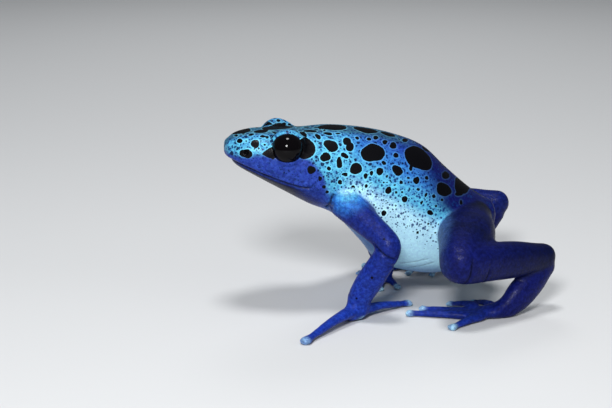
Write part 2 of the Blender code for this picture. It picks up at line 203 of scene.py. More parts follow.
# The camera: focal length and sensor's width in mm, picture in pixels, the place that it aims at
# in mm, and the pixel where that place is seen
LENS = 100.0
SENSOR = 36.0
PICTURE = (612, 408)
TARGET = (0.0, 0.0, 12.0)
TARGET_PIXEL = (390, 215)
# The lights: place and size in m, power in W, and whether glossy surfaces show them
LIGHTS = {
    "key": ((-0.11, -0.28, 0.2), 0.08, 1.15, True),
    "fill": ((0.3, -0.2, 0.12), 0.2, 0.15, False),
    "top": ((-0.02, -0.02, 0.32), 0.075, 0.5, True),
    "rim": ((0.05, 0.3, 0.25), 0.15, 0.3, False),
}
LIGHT_AIM = (0, 0, 0.012)
SKY_COLOUR = (0.8, 0.85, 0.9, 1)
SKY_STRENGTH = 0.15
FLOOR_HALF = 3.0

# Where the modelling frame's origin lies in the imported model's frame
_eye_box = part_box("eye_left")
ORIGIN = np.array(EYE_CENTRE) - np.array((_eye_box[0] + _eye_box[1]) / 2) / MM


def unit(vector):
    """A vector over its length."""
    vector = np.asarray(vector, float)
    return vector / np.linalg.norm(vector, axis=-1, keepdims=True)


def mirrored(point):
    """The same point on the other side of the frog."""
    return (point[0], -point[1], point[2])


SIDES = (("left", lambda point: point), ("right", mirrored))


def swung(vector, degrees):
    """A vector turned about the vertical: the plane rotation by sine and cosine."""
    turn = math.radians(degrees)
    x, y, z = vector
    return np.array((
        x * math.cos(turn) - y * math.sin(turn), x * math.sin(turn) + y * math.cos(turn), z
    ))


def ramp(value, low, high):
    """0 below low, 1 above high, and three t squared less two t cubed between them."""
    share = np.clip((np.asarray(value, float) - low) / (high - low), 0, 1)
    return share * share * (3 - 2 * share)


def bells(value, curves):
    """Sum of bell curves of a value, from the height, middle and width of each."""
    return sum(
        height * np.exp(-((value - middle) / width) ** 2) for height, middle, width in curves
    )


def full_turn(sides):
    """Evenly spaced angles once round."""
    return np.linspace(0, 2 * math.pi, sides, endpoint=False)


def off_place(points, place):
    """Distance of each point from a place."""
    return np.linalg.norm(points - place, axis=1)


def over_line(points, line):
    """Height of each point over a line that is drawn in x and z."""
    return points[:, 2] - np.interp(points[:, 0], *np.array(line).T)


def smooth_rows(rows, where):
    """The Catmull-Rom cubic through equally spaced rows, at positions 0 to len(rows) - 1."""
    rows = np.asarray(rows, float)
    span = np.clip(where.astype(int), 0, len(rows) - 2)
    share = (where - span)[..., None]
    before = rows[np.maximum(span - 1, 0)]
    start = rows[span]
    end = rows[span + 1]
    after = rows[np.minimum(span + 2, len(rows) - 1)]
    return 0.5 * (
        2 * start
        + (end - before) * share
        + (2 * before - 5 * start + 4 * end - after) * share**2
        + (3 * start - before - 3 * end + after) * share**3
    )


def closed_form(rings, first, last):
    """Points and faces of a tube: a grid of rings, and a fan of triangles to a pole at each end."""
    count, sides = rings.shape[:2]
    points = np.concatenate([rings.reshape(-1, 3), [first, last]])
    row, side = np.meshgrid(np.arange(count - 1), np.arange(sides), indexing="ij")
    beside = (side + 1) % sides
    quads = np.stack([
        row * sides + side, row * sides + beside,
        (row + 1) * sides + beside, (row + 1) * sides + side,
    ], -1).reshape(-1, 4)
    around = np.arange(sides)
    following = (around + 1) % sides
    pole = np.full(sides, count * sides)
    end = (count - 1) * sides
    fans = np.concatenate([
        np.stack([pole, following, around], -1),
        np.stack([pole + 1, end + around, end + following], -1),
    ])
    return points, quads, fans


def body_point(station, turn):
    """A point of head and trunk from its station (snout 0 to vent 11) and its turn from the back.

    Each section spans from the belly line to the back line. Its width and height follow an
    ellipse under its widest line and a superellipse over it: sine and cosine of the turn, each
    to the power of two over the squareness.
    """
    rows = smooth_rows(BODY_SECTIONS, np.asarray(station, float))
    back_x, back_z, belly_x, belly_z, half, widest, square = np.moveaxis(rows, -1, 0)
    up, out = np.cos(turn), np.sin(turn)
    power = 2 / np.where(up >= 0, square, BELLY_SQUARE)
    reach = np.where(up >= 0, 1 - widest, widest)
    tall = widest + np.sign(up) * np.abs(up) ** power * reach
    wide = np.sign(out) * np.abs(out) ** power * half
    return np.stack([
        belly_x + tall * (back_x - belly_x), wide, belly_z + tall * (back_z - belly_z)
    ], -1)


def body_place(points):
    """Station, turn and rough height over the surface of points near head and trunk.

    The station is found by halving the interval until the slanted section through the point is
    met; the turn is the angle of the superellipse's own sine and cosine there, and the height is
    how far the point's section is scaled past the surface, times its smaller half size.
    """
    x, y, z = points.T
    low, high = np.zeros(len(points)), np.full(len(points), float(LAST_STATION))
    for _ in range(22):
        middle = (low + high) / 2
        rows = smooth_rows(BODY_SECTIONS, middle)
        share = np.clip((z - rows[:, 3]) / (rows[:, 1] - rows[:, 3]), 0, 1)
        before = rows[:, 2] + share * (rows[:, 0] - rows[:, 2]) < x
        low, high = np.where(before, middle, low), np.where(before, high, middle)
    back_x, back_z, belly_x, belly_z, half, widest, square = rows.T
    above = (z - belly_z) / (back_z - belly_z) - widest
    power = np.where(above >= 0, square, BELLY_SQUARE) / 2
    reach = np.where(above >= 0, 1 - widest, widest)
    up = np.sign(above) * np.abs(above / reach) ** power
    out = np.sign(y) * np.abs(y / half) ** power
    scale = (up * up + out * out) ** (0.5 / power)
    beyond = np.maximum(np.maximum(x - VENT_TIP[0], SNOUT_TIP[0] - x), 0)
    height = (scale - 1) * np.minimum(half, (back_z - belly_z) / 2) + beyond
    return middle, np.arctan2(out, up), height


def body_form(rings=150, sides=130, cap=6):
    """Head and trunk: the grid of body_point, and a quarter of an ellipse out to each tip.

    The chest is drawn in toward the vent under its widest line, by a bell curve of the station.
    """
    turn = full_turn(sides)
    station = np.linspace(0, LAST_STATION, rings)[:, None]
    grid = body_point(station, turn[None])
    chest = np.exp(-((station - CHEST_STATION) / CHEST_SPAN) ** 2)
    grid[..., 0] += CHEST_DEPTH * chest * ramp(-np.cos(turn), 0.25, 0.9)
    bends = np.linspace(0, math.pi / 2, cap + 1)[1:-1, None, None]
    ends = []
    for ring, tip in ((grid[0], SNOUT_TIP), (grid[-1], VENT_TIP)):
        centre = (ring.min(axis=0) + ring.max(axis=0)) / 2
        ends.append(centre + (ring - centre) * np.cos(bends) + (tip - centre) * np.sin(bends))
    return closed_form(np.concatenate([ends[0][::-1], grid, ends[1]]), SNOUT_TIP, VENT_TIP)


def oval_grid(centres, half, side, over, waves):
    """Rings round centres: waves times the half sizes along two directions."""
    wide, tall = waves
    return (
        centres[:, None]
        + wide[None, :, None] * half[:, :1, None] * side[:, None]
        + tall[None, :, None] * half[:, 1:, None] * over[:, None]
    )


def swept_form(joints, across, sizes, rounding=LIMB_ROUNDING, square=2.0, step=0.12, sides=40):
    """A limb: ovals carried along a jointed line whose corners are rounded.

    The line is sampled evenly, and each place is the mean of its neighbours under a bell curve
    of the rounding's width. The ovals' half sizes are the smooth curve through `sizes`, three
    steps from joint to joint; the first lies roughly along `across`. Each oval is a
    superellipse: sine and cosine to the power of two over the squareness. Half ellipsoids end it.
    """
    cap = 7
    joints = np.array(joints, float)
    ends = np.append(0, np.cumsum(np.linalg.norm(np.diff(joints, axis=0), axis=1)))
    where = np.linspace(0, ends[-1], int(ends[-1] / step))
    place = np.stack([np.interp(where, ends, joints[:, axis]) for axis in range(3)], -1)
    reach = math.ceil(3 * rounding / step)
    bell = np.exp(-0.5 * (np.arange(-reach, reach + 1) * step / rounding) ** 2)
    before = 2 * place[0] - place[reach:0:-1]
    after = 2 * place[-1] - place[-2:-reach - 2:-1]
    padded = np.concatenate([before, place, after])
    centres = np.stack([
        np.convolve(padded[:, axis], bell / bell.sum(), "valid") for axis in range(3)
    ], -1)
    along = unit(np.gradient(centres, axis=0))
    side = unit(across - (along @ np.array(across, float))[:, None] * along)
    over = np.cross(along, side)
    half = smooth_rows(sizes, np.interp(where, ends, 3 * np.arange(len(joints))))
    bends = np.linspace(0, math.pi / 2, cap + 1)[1:-1, None]
    first, last = -along[0] * half[0].mean(), along[-1] * half[-1].mean()
    centres = np.concatenate([
        (centres[0] + first * np.sin(bends))[::-1], centres, centres[-1] + last * np.sin(bends)
    ])
    half = np.concatenate([(half[0] * np.cos(bends))[::-1], half, half[-1] * np.cos(bends)])
    pad = (cap - 1, cap - 1)
    side, over = (np.pad(value, (pad, (0, 0)), mode="edge") for value in (side, over))
    turn = full_turn(sides)
    waves = [
        np.sign(wave) * np.abs(wave) ** (2 / square) for wave in (np.cos(turn), np.sin(turn))
    ]
    grid = oval_grid(centres, half, side, over, waves)
    return closed_form(grid, joints[0] + first, joints[-1] + last)


def digit_form(path, size, rings=60, sides=24):
    """A finger or toe: ovals carried along the smooth curve through its knuckles to its disc."""
    steps = np.linspace(0, 1, rings)
    centres = smooth_rows(path, steps * (len(path) - 1))
    half = smooth_rows(DIGIT, steps * (len(DIGIT) - 1)) * size
    along = np.gradient(centres, axis=0)
    side = unit(np.cross(along, UP))
    turn = full_turn(sides)
    grid = oval_grid(
        centres, half, side, np.broadcast_to(UP, side.shape), (np.cos(turn), np.sin(turn))
    )
    first = centres[0] - unit(along[0]) * DIGIT_TIP
    last = centres[-1] + unit(along[-1]) * DIGIT_TIP * size
    return closed_form(grid, first, last)


def ball_form(centre, radii, rings=40, sides=60):
    """An ellipsoid: sine and cosine of two angles times three radii."""
    rise = np.linspace(0, math.pi, rings + 2)[1:-1, None]
    turn = full_turn(sides)[None]
    flat = np.sin(rise)
    grid = np.stack([
        flat * np.cos(turn), flat * np.sin(turn), np.cos(rise) * np.ones_like(turn)
    ], -1)
    radii = np.asarray(radii, float)
    centre = np.asarray(centre, float)
    return closed_form(centre + grid * radii, centre + radii * UP, centre - radii * UP)


def digit_path(root, tip, size, arch):
    """The knuckles of a finger or toe between its root and its pad on the floor."""
    root = np.array((root[0], root[1], DIGIT_ROOT_HEIGHT + arch))
    tip = np.array((tip[0], tip[1], PAD_HEIGHT * size))
    lifts = [(0, 0, lift * (1 + 2 * arch)) for lift in KNUCKLE_LIFTS]
    middle = [root + (tip - root) * share + lift for share, lift in zip(KNUCKLE_SHARES, lifts)]
    return np.array([root, *middle, tip])


def limb_forms():
    """Every limb and digit as a form, and the stretches of their middle lines.

    A stretch is its kind, its path and the radii along it.
    """
    forms = []
    stretches = []

    def limb(kinds, joints, across, sizes, square=2.0):
        forms.append(swept_form(joints, across, sizes, square=square))
        for index, kind in enumerate(kinds):
            path = np.array(joints[index:index + 2], float)
            radii = np.mean(sizes[3 * index:3 * index + 4], axis=1)
            stretches.append((kind, path, radii))

    def digit(kind, root, tip, size, arch):
        path = digit_path(root, tip, size, arch)
        forms.append(digit_form(path, size))
        stretches.append((kind, path, np.mean(DIGIT, axis=1) * size))

    for side, turned in SIDES:
        joints = JOINTS[side]
        wrist = joints["wrist"]
        turn = math.radians(PALM_TURN[side])
        ahead = np.array((math.cos(turn), math.sin(turn), 0))
        palm = np.array((wrist[0], wrist[1], PALM_HEIGHT)) + ahead * PALM_REACH[side]
        palm_back = palm - ahead * PALM_BACK + (0, 0, PALM_BACK / 2)
        palm_across = (-math.sin(turn), math.cos(turn), 0)
        arm = (joints["shoulder"], joints["elbow"], wrist, palm)
        limb(("upper_arm", "forearm", "palm"), arm, turned(ARM_ACROSS), ARM)
        palm_line = (palm_back, palm + ahead * PALM_FRONT)
        forms.append(swept_form(palm_line, palm_across, PALM, PALM_ROUNDING))
        for degrees, tip_x, tip_y, size, arch in FINGERS[side]:
            root = palm + swung((FINGER_ROOT, 0, 0), degrees)
            kind = "outer_finger" if degrees == FINGERS[side][-1][0] else "finger"
            digit(kind, root, (tip_x, tip_y), size, arch)
        swing = FOOT_TURN[side]
        foot_end = np.array(FOOT_BASE) + swung(SOLE_REACH, swing)
        hip, knee = np.array(joints["hip"]), np.array(joints["knee"])
        leg = (hip, (hip + knee) / 2 + turned(THIGH_BOW), knee, joints["heel"])
        limb(("thigh", "thigh", "shank"), leg, UP, LEG, LEG_SQUARE)
        foot = (joints["hock"], turned(FOOT_BASE), turned(foot_end))
        limb(("tarsus", "sole"), foot, UP, TARSUS + SOLE)
        for root_x, root_y, tip_x, tip_y, size, arch in TOES:
            root = turned(foot_end + swung((root_x, root_y, 0), swing))
            tip = turned(foot_end + swung((tip_x, tip_y, 0), swing))
            digit("toe", root, tip, size, arch)
    return forms, stretches


def joined(forms):
    """Several closed forms as one set of points, four-sided and three-sided faces."""
    counts = np.cumsum([0] + [len(form[0]) for form in forms[:-1]])
    points = np.concatenate([form[0] for form in forms])
    quads, fans = (
        np.concatenate([form[part] + count for form, count in zip(forms, counts)])
        for part in (1, 2)
    )
    return points, quads, fans


def blender_mesh(points, faces):
    """A plain mesh from arrays, to pass through one of Blender's tools."""
    mesh = bpy.data.meshes.new("working")
    mesh.from_pydata(points.tolist(), [], faces)
    mesh.update()
    return mesh


def arrays_of(mesh):
    """Points, edges, triangles and the lengths and corners of the faces of a mesh, which goes."""
    points = np.empty(len(mesh.vertices) * 3)
    mesh.vertices.foreach_get("co", points)
    edges = np.empty(len(mesh.edges) * 2, np.int64)
    mesh.edges.foreach_get("vertices", edges)
    mesh.calc_loop_triangles()
    triangles = np.empty(len(mesh.loop_triangles) * 3, np.int64)
    mesh.loop_triangles.foreach_get("vertices", triangles)
    faces = [tuple(face.vertices) for face in mesh.polygons]
    bpy.data.meshes.remove(mesh)
    return points.reshape(-1, 3), edges.reshape(-1, 2), triangles.reshape(-1, 3), faces


def fused(points, quads, fans, cell):
    """One closed skin round overlapping forms, by the voxel remesh."""
    mesh = blender_mesh(points, quads.tolist() + fans.tolist())
    helper = bpy.data.objects.new("fusing", mesh)
    bpy.context.scene.collection.objects.link(helper)
    remesh = helper.modifiers.new("fuse", "REMESH")
    remesh.mode = "VOXEL"
    remesh.voxel_size = cell
    graph = bpy.context.evaluated_depsgraph_get()
    result = bpy.data.meshes.new_from_object(helper.evaluated_get(graph))
    bpy.data.objects.remove(helper)
    return arrays_of(result)


def refined(points, faces, chosen):
    """Halves the edges whose two ends are both chosen, which makes four faces of one there."""
    mesh = blender_mesh(points, faces)
    bm = bmesh.new()
    bm.from_mesh(mesh)
    edges = [edge for edge in bm.edges if all(chosen[end.index] for end in edge.verts)]
    bmesh.ops.subdivide_edges(bm, edges=edges, cuts=1, use_grid_fill=True)
    bm.to_mesh(mesh)
    bm.free()
    return arrays_of(mesh)


def relaxed(points, edges, amounts, share=1.0):
    """Moves every point toward the mean of its neighbours by each amount in turn.

    The amounts are scaled by a share, which may differ from point to point.
    """
    count = len(points)
    degree = np.bincount(edges.ravel(), minlength=count)[:, None]
    share = np.broadcast_to(share, count)[:, None]
    for amount in amounts:
        total = np.stack([
            np.bincount(edges[:, 0], points[edges[:, 1], axis], count)
            + np.bincount(edges[:, 1], points[edges[:, 0], axis], count)
            for axis in range(3)
        ], -1)
        points = points + (total / degree - points) * amount * share
    return points


def normals_of(points, triangles):
    """Unit normals at the points: the cross products of the triangles' sides, added up."""
    first, second, third = (points[triangles[:, corner]] for corner in range(3))
    cross = np.cross(second - first, third - first)
    total = np.stack([
        np.bincount(triangles.ravel(), np.repeat(cross[:, axis], 3), len(points))
        for axis in range(3)
    ], -1)
    return unit(total)


def line_distance(points, path, radii):
    """Distance from points to a jointed line less its radius there, and the share along it.

    On each stretch the nearest place is the projection, kept between its ends.
    """
    best = np.full(len(points), 1e9)
    share = np.zeros(len(points))
    steps = np.linspace(0, 1, len(path))
    widths = np.interp(steps, np.linspace(0, 1, len(radii)), radii)
    for index in range(len(path) - 1):
        span = path[index + 1] - path[index]
        t = np.clip((points - path[index]) @ span / (span @ span), 0, 1)
        off = np.linalg.norm(points - path[index] - t[:, None] * span, axis=1)
        off -= widths[index] + t * (widths[index + 1] - widths[index])
        nearer = off < best
        best = np.where(nearer, off, best)
        share = np.where(nearer, (index + t) / (len(path) - 1), share)
    return best, share


# Colours of the skin, which the settings take as their defaults: where they are, and linear red,
# green and blue
TONES = {
    "pale": ("Flanks, belly and tips of the digits", (0.42, 0.72, 0.87)),
    "cyan": ("Head and the sides of the back", (0.08, 0.375, 0.60)),
    "azure": ("Between the sides and the back", (0.020, 0.125, 0.46)),
    "royal": ("Back, palms and fingers", (0.011, 0.035, 0.29)),
    "cheek": ("Cheeks and the sides of the neck", (0.018, 0.046, 0.30)),
    "arm": ("Arms and toes", (0.007, 0.017, 0.16)),
    "violet": ("Rump, knees, feet and jaw", (0.004, 0.007, 0.085)),
    # Partly the legs' own deep blue and partly painted shade at the lower end of the shanks
    "deep": ("Lower end of the shanks", (0.002, 0.004, 0.03)),
    # Painted shade: the dark upper end of the thighs
    "thigh_shade": ("Upper end of the thighs", (0.0018, 0.0036, 0.012)),
    # Painted sheen: a lighter glow along the front of the thighs
    "sheen": ("Front of the thighs", (0.05, 0.1, 0.27)),
    # Painted shade: the dull, darker ground along the top of the back
    "teal": ("Middle of the back", (0.025, 0.095, 0.125)),
    # Painted shade: near-black laid into the folds, along the mouth's line and under the jaw
    "night": ("In the folds and the mouth, and under the jaw", (0.0006, 0.001, 0.006)),
    "spot": ("The black spots", (0.0012, 0.0012, 0.0022)),
}

# Tones of the limbs' pieces from their first joint to their last
LIMB_TONES = {
    "upper_arm": ("arm", "arm"),
    "forearm": ("arm", "royal"),
    "palm": ("royal", "royal"),
    "finger": ("royal", "royal"),
    "outer_finger": ("royal", "royal"),
    # The thigh's upper end is painted shade
    "thigh": ("thigh_shade", "violet"),
    # The shank darkens toward the heel: partly its own deep blue, partly painted shade
    "shank": ("violet", "deep"),
    "tarsus": ("violet", "violet"),
    "sole": ("violet", "arm"),
    "toe": ("arm", "royal"),
}
# How pale the tips of the digits are
TIP_SHARES = {"finger": 0.8, "outer_finger": 0.35, "toe": 0.65}
# The patch on each shoulder, lighter blue skin with a painted highlight on its top: x, distance
# from the middle, z
SHOULDER_PATCH = (-7.9, 6.9, 17.2)

# Black patches by each eye, on the side of the head and then on the lid: from the eye's centre
# along and up, half sizes, and how much taller they are at their rear end than in the middle
EYE_PATCHES = [(-2.65, -0.5, 1.1, 0.66, 0.8), (2.4, 0.05, 1.4, 1.36, -0.22)]
LID_PATCHES = [(-1.65, 1.7, 1.1, 0.72, -0.1), (1.45, 1.65, 1.0, 0.5, -0.3)]
# The pale pad under the left palm, on the side that the camera sees
PALM_PAD = (-7.0, -11.3, 0.35)
# Faint small spots on the left arm, and their radius
ARM_SPOTS = [(-4.13, -12.51, 12.0), (-7.5, -11.15, 3.46), (-5.73, -12.4, 6.57)]
ARM_SPOT_RADIUS = 0.2
# Where cyan turns to royal blue on the side of the head: x, z
CHEEK_LINE = [
    (-24, 22.5), (-22, 22.4), (-19.2, 22.75), (-16, 22.4), (-14, 22.45), (-12.6, 21.8),
    (-11.2, 19.8), (-10.2, 16.8), (-9.8, 12.0),
]

# Folds across the limbs: the joint, the joint it lies toward, its distance from the first in mm,
# the direction of the side that it is on, depth, width, and how far from the limb's axis it goes
FOLDS = [
    ("knee", "heel", 0.35, (0, -0.75, -0.7), 0.3, 0.15, 3.4),
    ("knee", "heel", 3.45, (0, -0.1, -1.0), 0.24, 0.13, 3.4),
    ("elbow", "wrist", 1.1, (-0.6, -0.75, 0.0), 0.26, 0.15, 2.4),
    ("elbow", "wrist", 2.2, (0.6, -0.4, 0.0), 0.1, 0.25, 2.4),
    ("wrist", "elbow", 0.3, (-0.5, -0.8, 0.0), 0.07, 0.25, 2.4),
]
# Folds along the skin, in front of each shoulder, over the mouth and low on each flank: their
# lines seen from the side, x and z, their depth and width
SKIN_LINES = [
    ([(-9.6, 17.2), (-9.95, 16.5), (-10.12, 15.6), (-10.15, 14.3)], 0.36, 0.16),
    ([(-19.2, 20.5), (-18.0, 20.15), (-16.6, 19.7), (-15.0, 19.25), (-13.6, 18.95)], 0.12, 0.13),
    ([(0.2, 6.25), (2.1, 6.55), (4.1, 7.2)], 0.1, 0.1),
    ([(1.3, 5.1), (3.05, 5.7), (5.0, 6.5)], 0.1, 0.1),
]
# The line between the lips: x, z
MOUTH_LINE = [
    (-24.5, 21.9), (-22.4, 21.2), (-20.9, 20.6), (-19.35, 19.9), (-17.0, 19.0), (-15.7, 18.55),
    (-14.3, 18.1), (-13.2, 18.0), (-12.4, 18.2),
]
MOUTH_CORNER = -12.6
# Depth at which a fold's painted shade is as dark as it gets
CREASE_DEPTH = 0.3

# Linear colours of the small dots, of the bigger marks between the spots and of the light rings
# round the spots, and how much brighter the rings are than the ground
DOT_COLOUR = (0.004, 0.022, 0.12, 1)
MARK_COLOUR = (0.002, 0.007, 0.045, 1)
RING_COLOUR = (0.24, 0.66, 0.90, 1)
RING_GAIN = (1.5, 1.5, 1.35, 1)
# How far the dots are shaken out of their cells, and how deep the skin's grain is, in metres
SHAKE = 0.0002
GRAIN_DEPTH = 0.00006
# Strength of the grain in the skin and in the wet film over it
GRAIN_STRENGTH = 0.5
FILM_STRENGTH = 0.22
# How fine the skin's textures are: repeats in a metre
TEXTURES = {
    "shake": 1500.0, "edge": 1700.0, "grain": 2600.0, "blotch": 1900.0, "dots": 2600.0,
    "marks": 1500.0, "pebbles": 3800.0, "wrinkles": 8000.0,
}

# Spots drawn at random where there is room on the back and the right side: mean radius and tries
FILL_SPOTS = [(1.35, 60), (1.0, 160), (0.7, 300), (0.5, 500), (0.34, 900), (0.22, 1200)]
# The turn from the back where they begin, and the gap between spots
FILL_FROM = -16
SPOT_GAP = 0.32
# How far a mirrored spot may differ: station, turn, size and lean
LOOSE_LOW = (-0.22, -5, 0.8, -25)
LOOSE_HIGH = (0.22, 5, 1.12, 25)

# Black spots of the left side: station, turn from the back in degrees, half length, half width,
# and how far the long way is turned from the body's line
SPOTS = [
    (0.93, -39.7, 0.52, 0.41, -50), (1.77, -50.8, 0.68, 0.57, -51),
    (2.36, -30.5, 0.38, 0.26, -75), (1.69, -21.0, 0.42, 0.37, 29),
    (2.19, -28.0, 0.37, 0.34, -87), (0.82, -11.0, 0.54, 0.21, -61),
    (1.32, -43.5, 0.27, 0.17, -75), (2.19, -51.5, 0.2, 0.19, 4),
    (1.92, -62.0, 0.17, 0.14, 5), (1.67, -67.0, 0.17, 0.1, 8),
    (2.74, -17.0, 0.44, 0.27, 82), (3.06, -9.5, 0.47, 0.21, 79),
    (3.63, -11.2, 0.63, 0.26, 82), (3.88, -19.5, 0.89, 0.42, -84),
    (4.4, -28.2, 0.72, 0.34, -77), (4.8, -24.2, 0.7, 0.37, -26),
    (5.13, -24.2, 0.37, 0.24, 15), (1.23, -78.8, 0.93, 0.62, 1),
    (1.33, 7.0, 1.92, 1.31, -87), (2.23, -8.7, 1.04, 0.79, 32),
    (3.04, 5.0, 2.63, 1.6, 25), (4.2, -11.8, 1.0, 0.47, -30),
    (4.79, -46.7, 1.12, 0.87, -49), (4.52, -62.7, 0.75, 0.65, 22),
    (5.35, -37.0, 0.74, 0.55, 73), (5.41, -45.8, 0.73, 0.55, 65),
    (5.21, -58.8, 0.62, 0.37, -23), (5.0, -69.5, 0.82, 0.42, -80),
    (3.93, -78.8, 0.62, 0.55, 6), (4.6, -76.8, 0.35, 0.31, -4),
    (4.38, -95.5, 0.36, 0.21, -25), (4.49, -104.5, 0.27, 0.25, 27),
    (4.24, -86.5, 0.35, 0.28, -84), (4.98, -89.0, 0.36, 0.34, -41),
    (5.46, -88.2, 0.31, 0.28, 26), (5.17, -80.5, 0.49, 0.28, 10),
    (5.55, -69.8, 0.84, 0.82, 34), (5.86, -73.0, 0.41, 0.32, -65),
    (6.05, -67.8, 0.38, 0.25, -69), (6.31, -63.0, 0.55, 0.54, -28),
    (6.11, -45.5, 1.77, 1.37, 25), (6.87, -55.2, 0.91, 0.64, -15),
    (7.63, -32.0, 2.18, 2.14, -67), (8.53, -51.5, 1.35, 1.04, 27),
    (7.49, -56.8, 0.54, 0.48, 87), (6.27, -22.5, 0.59, 0.34, 69),
    (6.53, -26.7, 0.57, 0.35, 71), (6.79, -28.5, 0.77, 0.49, 69),
    (6.84, -40.0, 0.47, 0.36, 75), (7.28, -10.7, 0.94, 0.38, 62),
    (6.04, -27.5, 0.44, 0.31, 49), (5.68, -29.2, 0.35, 0.32, -25),
    (6.44, -53.2, 0.35, 0.3, 0), (7.31, -48.2, 0.38, 0.3, 88),
    (7.85, -50.5, 0.34, 0.28, 50), (7.56, -63.5, 0.29, 0.21, 9),
    (7.0, -63.8, 0.35, 0.29, -73), (6.46, -70.5, 0.21, 0.21, 29),
    (6.58, -69.2, 0.21, 0.18, -65), (6.05, -76.8, 0.21, 0.17, -62),
    (5.9, -81.2, 0.31, 0.28, -57), (6.62, -75.2, 0.52, 0.49, -54),
    (6.87, -73.7, 0.24, 0.21, -60), (7.15, -75.5, 0.47, 0.45, 11),
    (6.81, -68.5, 0.22, 0.17, 27), (6.53, -64.5, 0.24, 0.21, -73),
    (7.22, -57.7, 0.3, 0.18, 25), (7.82, -65.0, 0.36, 0.22, 86),
    (8.11, -63.0, 0.33, 0.3, 9), (7.69, -72.5, 0.35, 0.18, -89),
    (6.56, -92.8, 0.43, 0.38, -65), (8.0, -77.0, 0.45, 0.35, -11),
    (8.6, -76.0, 0.35, 0.32, -60), (7.05, -71.2, 0.21, 0.18, -64),
    (5.77, -86.2, 0.21, 0.14, -57), (6.21, -91.5, 0.21, 0.14, -55),
    (6.9, -83.2, 0.21, 0.18, -55), (7.42, -87.5, 0.18, 0.14, 20),
    (7.67, -94.8, 0.23, 0.21, -35), (8.23, -90.2, 0.19, 0.17, -20),
    (7.34, -92.5, 0.15, 0.14, -32), (7.98, -85.5, 0.21, 0.18, -57),
    (8.3, -83.2, 0.16, 0.14, -4), (8.76, -31.0, 1.26, 0.56, 58),
    (9.23, -46.0, 0.91, 0.3, 28), (9.26, -56.5, 0.47, 0.28, 79),
    (9.93, -49.2, 0.63, 0.3, 28), (9.55, -24.0, 2.83, 1.27, 56),
    (8.19, -70.0, 0.24, 0.21, 23), (8.42, -62.5, 0.26, 0.21, 36),
    (7.25, 4.3, 0.94, 0.37, 71), (5.1, -3.5, 2.2, 1.55, 8), (6.05, -6.0, 1.85, 1.3, -4),
    (6.75, -7.0, 1.15, 0.9, 12),
]


def all_spots():
    """The measured spots, a loose mirror image of them, and more between them on the back.

    Each is kept only where its centre is farther from all others than the sum of their mean
    radii and a gap. The draws come from one seeded generator.
    """
    random = np.random.default_rng(11)
    spots = list(SPOTS)
    for station, degrees, half_length, half_width, tilt in SPOTS:
        if degrees < -14:
            shift, turn_shift, size, lean = random.uniform(LOOSE_LOW, LOOSE_HIGH)
            size = (half_length * size, half_width * size)
            spots.append((station + shift, -degrees + turn_shift, *size, lean - tilt))
    kept = [spot for spot in spots if spot[1] < 15]
    waiting = [spot for spot in spots if spot[1] >= 15]
    for radius, tries in FILL_SPOTS:
        drawn = random.uniform((0.6, FILL_FROM, 0.75, -90), (10.6, 100, 1.3, 90), (tries, 4))
        waiting += [
            (station, degrees, radius * share, radius / share, tilt)
            for station, degrees, share, tilt in drawn
        ]
    places = [body_point(spot[0], math.radians(spot[1])) for spot in kept]
    radii = [(spot[2] + spot[3]) / 2 for spot in kept]
    for spot in waiting:
        place = body_point(spot[0], math.radians(spot[1]))
        radius = (spot[2] + spot[3]) / 2
        room = off_place(np.array(places), place) - np.array(radii) - radius
        if room.min() > SPOT_GAP * min(1, radius / 0.5):
            kept.append(spot)
            places.append(place)
            radii.append(radius)
    return kept


def spot_field(points, spots):
    """Distance to the nearest spot's edge, below 0 inside.

    In a spot's own plane rho is the length of (u / a, v / b), over 1 plus low waves of the
    bearing, and the distance is rho times (rho - 1) over the length of (u / a squared, v / b
    squared). A spot near an eye lies on the ball of its lid instead.
    """
    best = np.full(len(points), 9.0)
    random = np.random.default_rng(5)
    for station, degrees, half_length, half_width, tilt in spots:
        turn = math.radians(degrees)
        step = 0.01
        centre = body_point(station, turn)
        along = unit(body_point(station + step, turn) - body_point(station - step, turn))
        around = unit(body_point(station, turn + step) - body_point(station, turn - step))
        outward = unit(np.cross(along, around))
        for _, turned in SIDES:
            from_eye = centre - turned(EYE_CENTRE)
            if np.linalg.norm(from_eye) < LID_REACH:
                outward = unit(from_eye)
                centre = turned(EYE_CENTRE) + outward * LID_RADIUS
                along = unit(along - (along @ outward) * outward)
        around = np.cross(outward, along)
        lean = math.radians(tilt)
        first = along * math.cos(lean) + around * math.sin(lean)
        second = around * math.cos(lean) - along * math.sin(lean)
        offset = points - centre
        u, v, w = offset @ first, offset @ second, offset @ outward
        bearing = np.arctan2(v, u)
        lobes = random.uniform(0, 2 * math.pi, 3)
        bumpy = 1 + sum(
            height * np.cos(count * bearing + start)
            for count, height, start in zip((2, 3, 5), (0.04, 0.05, 0.02), lobes)
        )
        rho = np.sqrt((u / half_length) ** 2 + (v / half_width) ** 2) / bumpy + 1e-6
        slope = np.sqrt((u / half_length**2) ** 2 + (v / half_width**2) ** 2) + 1e-6
        distance = rho * (rho - 1) / slope + np.maximum(np.abs(w) - 2.5, 0)
        best = np.minimum(best, distance)
    return best


def mixed(first, second, share):
    """First colour where the share is 0, second where it is 1."""
    share = np.asarray(share)[..., None]
    return np.asarray(first) * (1 - share) + np.asarray(second) * share


